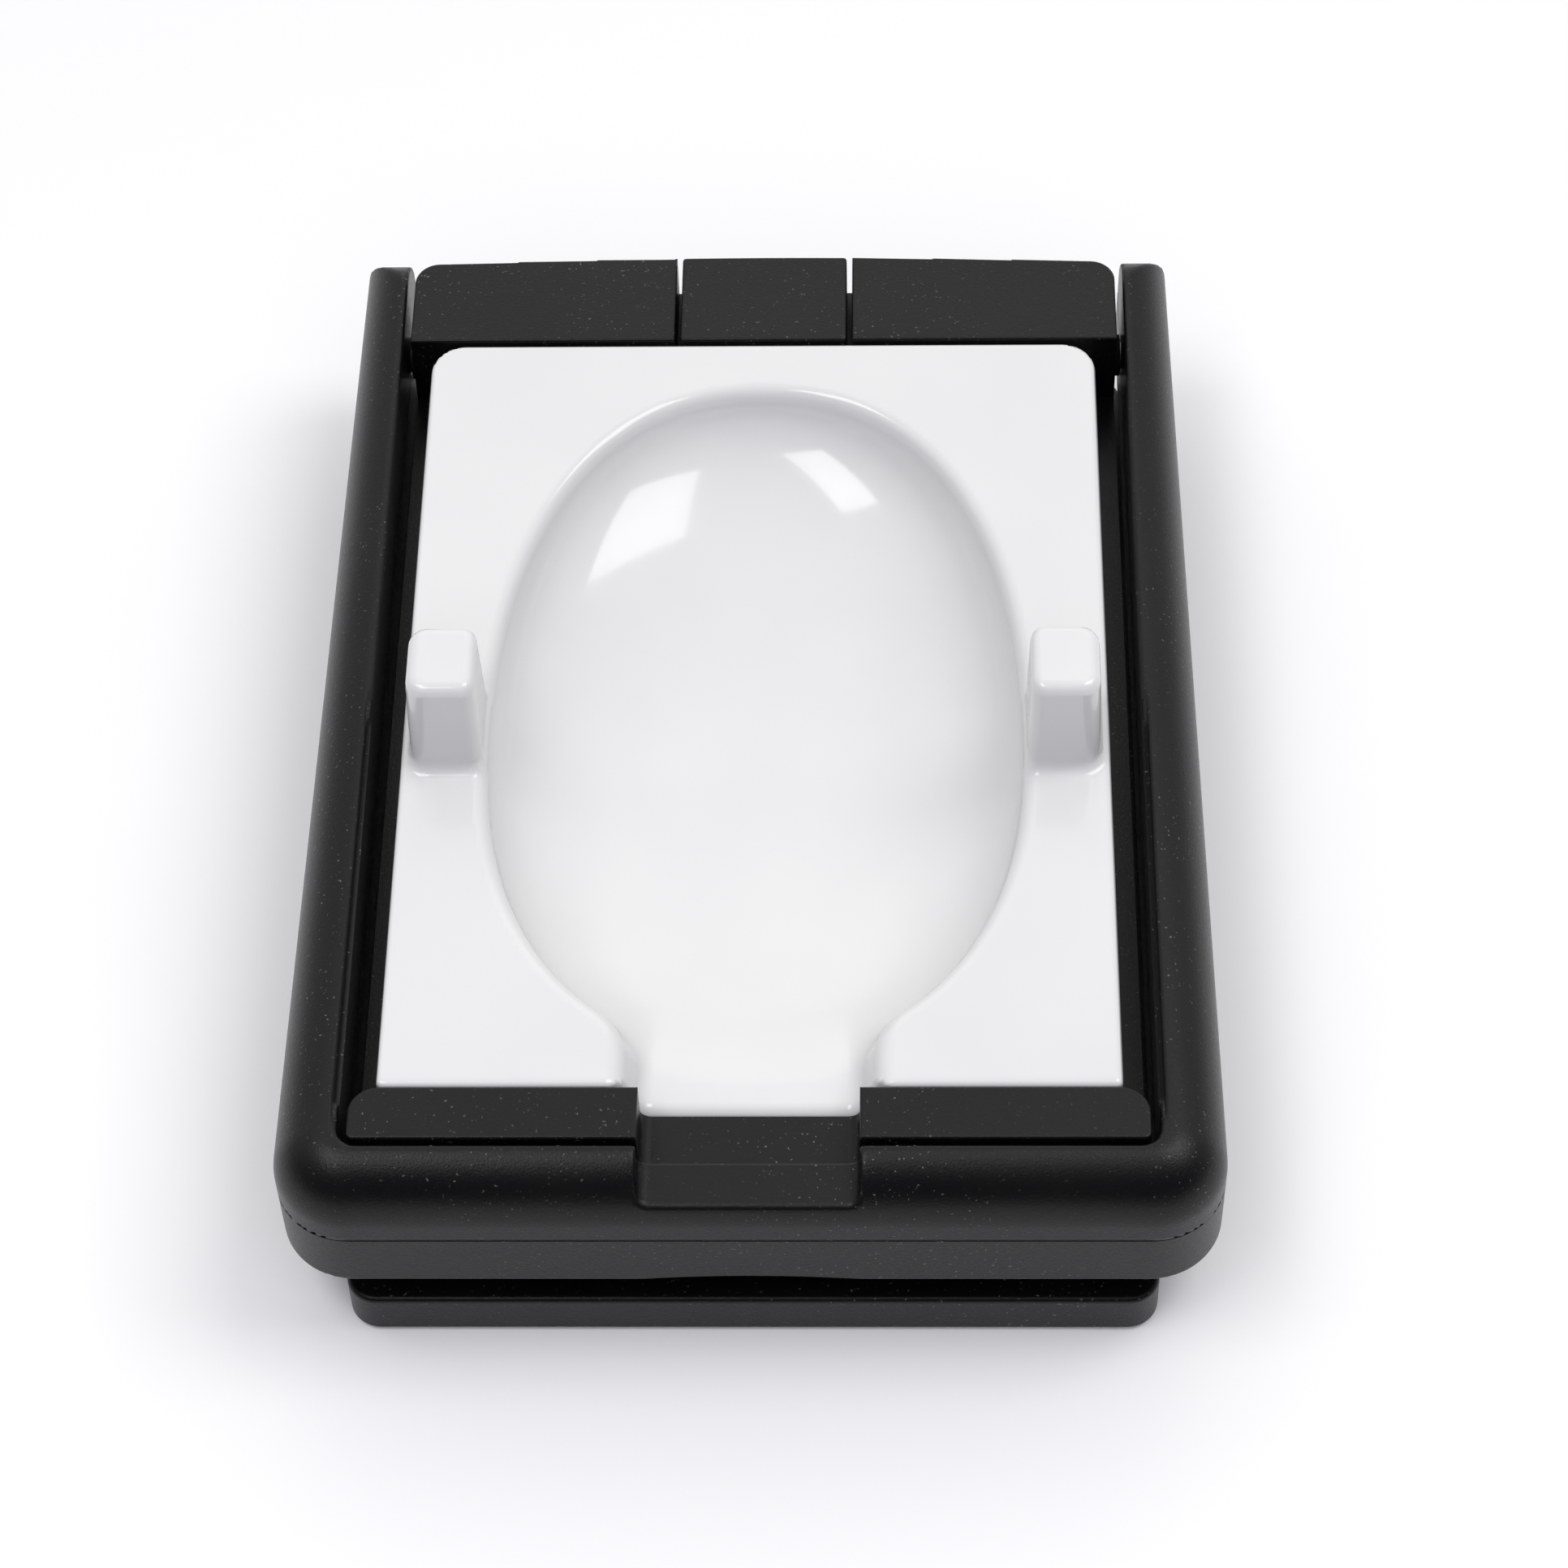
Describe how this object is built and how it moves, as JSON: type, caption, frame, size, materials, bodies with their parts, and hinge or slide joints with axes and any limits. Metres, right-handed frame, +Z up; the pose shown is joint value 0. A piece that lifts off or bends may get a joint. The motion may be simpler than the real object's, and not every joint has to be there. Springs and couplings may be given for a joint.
{
  "type": "dish holder with swing bow",
  "caption": "Black moulded holder with a glossy egg-shaped dish insert, a neck channel at the front, a rear catch and a U-shaped bow that swings over on side pivots.",
  "frame": {"origin": "middle of the footprint, on the surface that the four foot pads stand on", "axes": "+Z up out of the dish, +Y towards the rear wall with the catch, +X to the right when seen from the neck end; the bow's crossbar is at -Y at rest"},
  "size_m": [0.0768, 0.1024, 0.0316],
  "materials": {
    "black_moulding": "fine spark-eroded grain",
    "white_gloss": "polished",
    "rubber": "matte",
    "screw_steel": "plain",
    "pin_steel": "ground",
    "brass": "turned",
    "washer_black": "smooth"
  },
  "bodies": {
    "holder": {"base_plate": "black_moulding", "foot_pad_front_left": "rubber", "foot_pad_front_right": "rubber", "foot_pad_rear_left": "rubber", "foot_pad_rear_right": "rubber", "base_screws": "screw_steel", "bow_stop_pads": "rubber", "tray_frame": "black_moulding", "dish_insert": "white_gloss", "pivot_pin_left": "pin_steel", "pivot_pin_right": "pin_steel", "pin_sleeve_left": "brass", "pin_sleeve_right": "brass", "friction_washer_left": "washer_black", "friction_washer_right": "washer_black", "catch_spring": "pin_steel"},
    "bow": {"bow_upper_shell": "black_moulding", "bow_lower_shell": "black_moulding", "bow_screws": "screw_steel", "bow_bush_left": "brass", "bow_bush_right": "brass"},
    "catch": {"catch_slider": "black_moulding", "catch_keeper": "black_moulding", "catch_screw": "screw_steel"}
  },
  "joints": [
    {"name": "bow_swing", "type": "hinge", "parent": "holder", "child": "bow", "pos_m": [0, 0.04335, 0.0144], "axis": [-1, 0, 0], "range_deg": [0, 180]},
    {"name": "catch_slide", "type": "slide", "parent": "holder", "child": "catch", "axis": [0, 1, 0], "range_m": [0, 0.0015], "stiffness_N_per_m": 300, "springref_m": -0.002, "deforming": ["catch_spring"]}
  ]
}
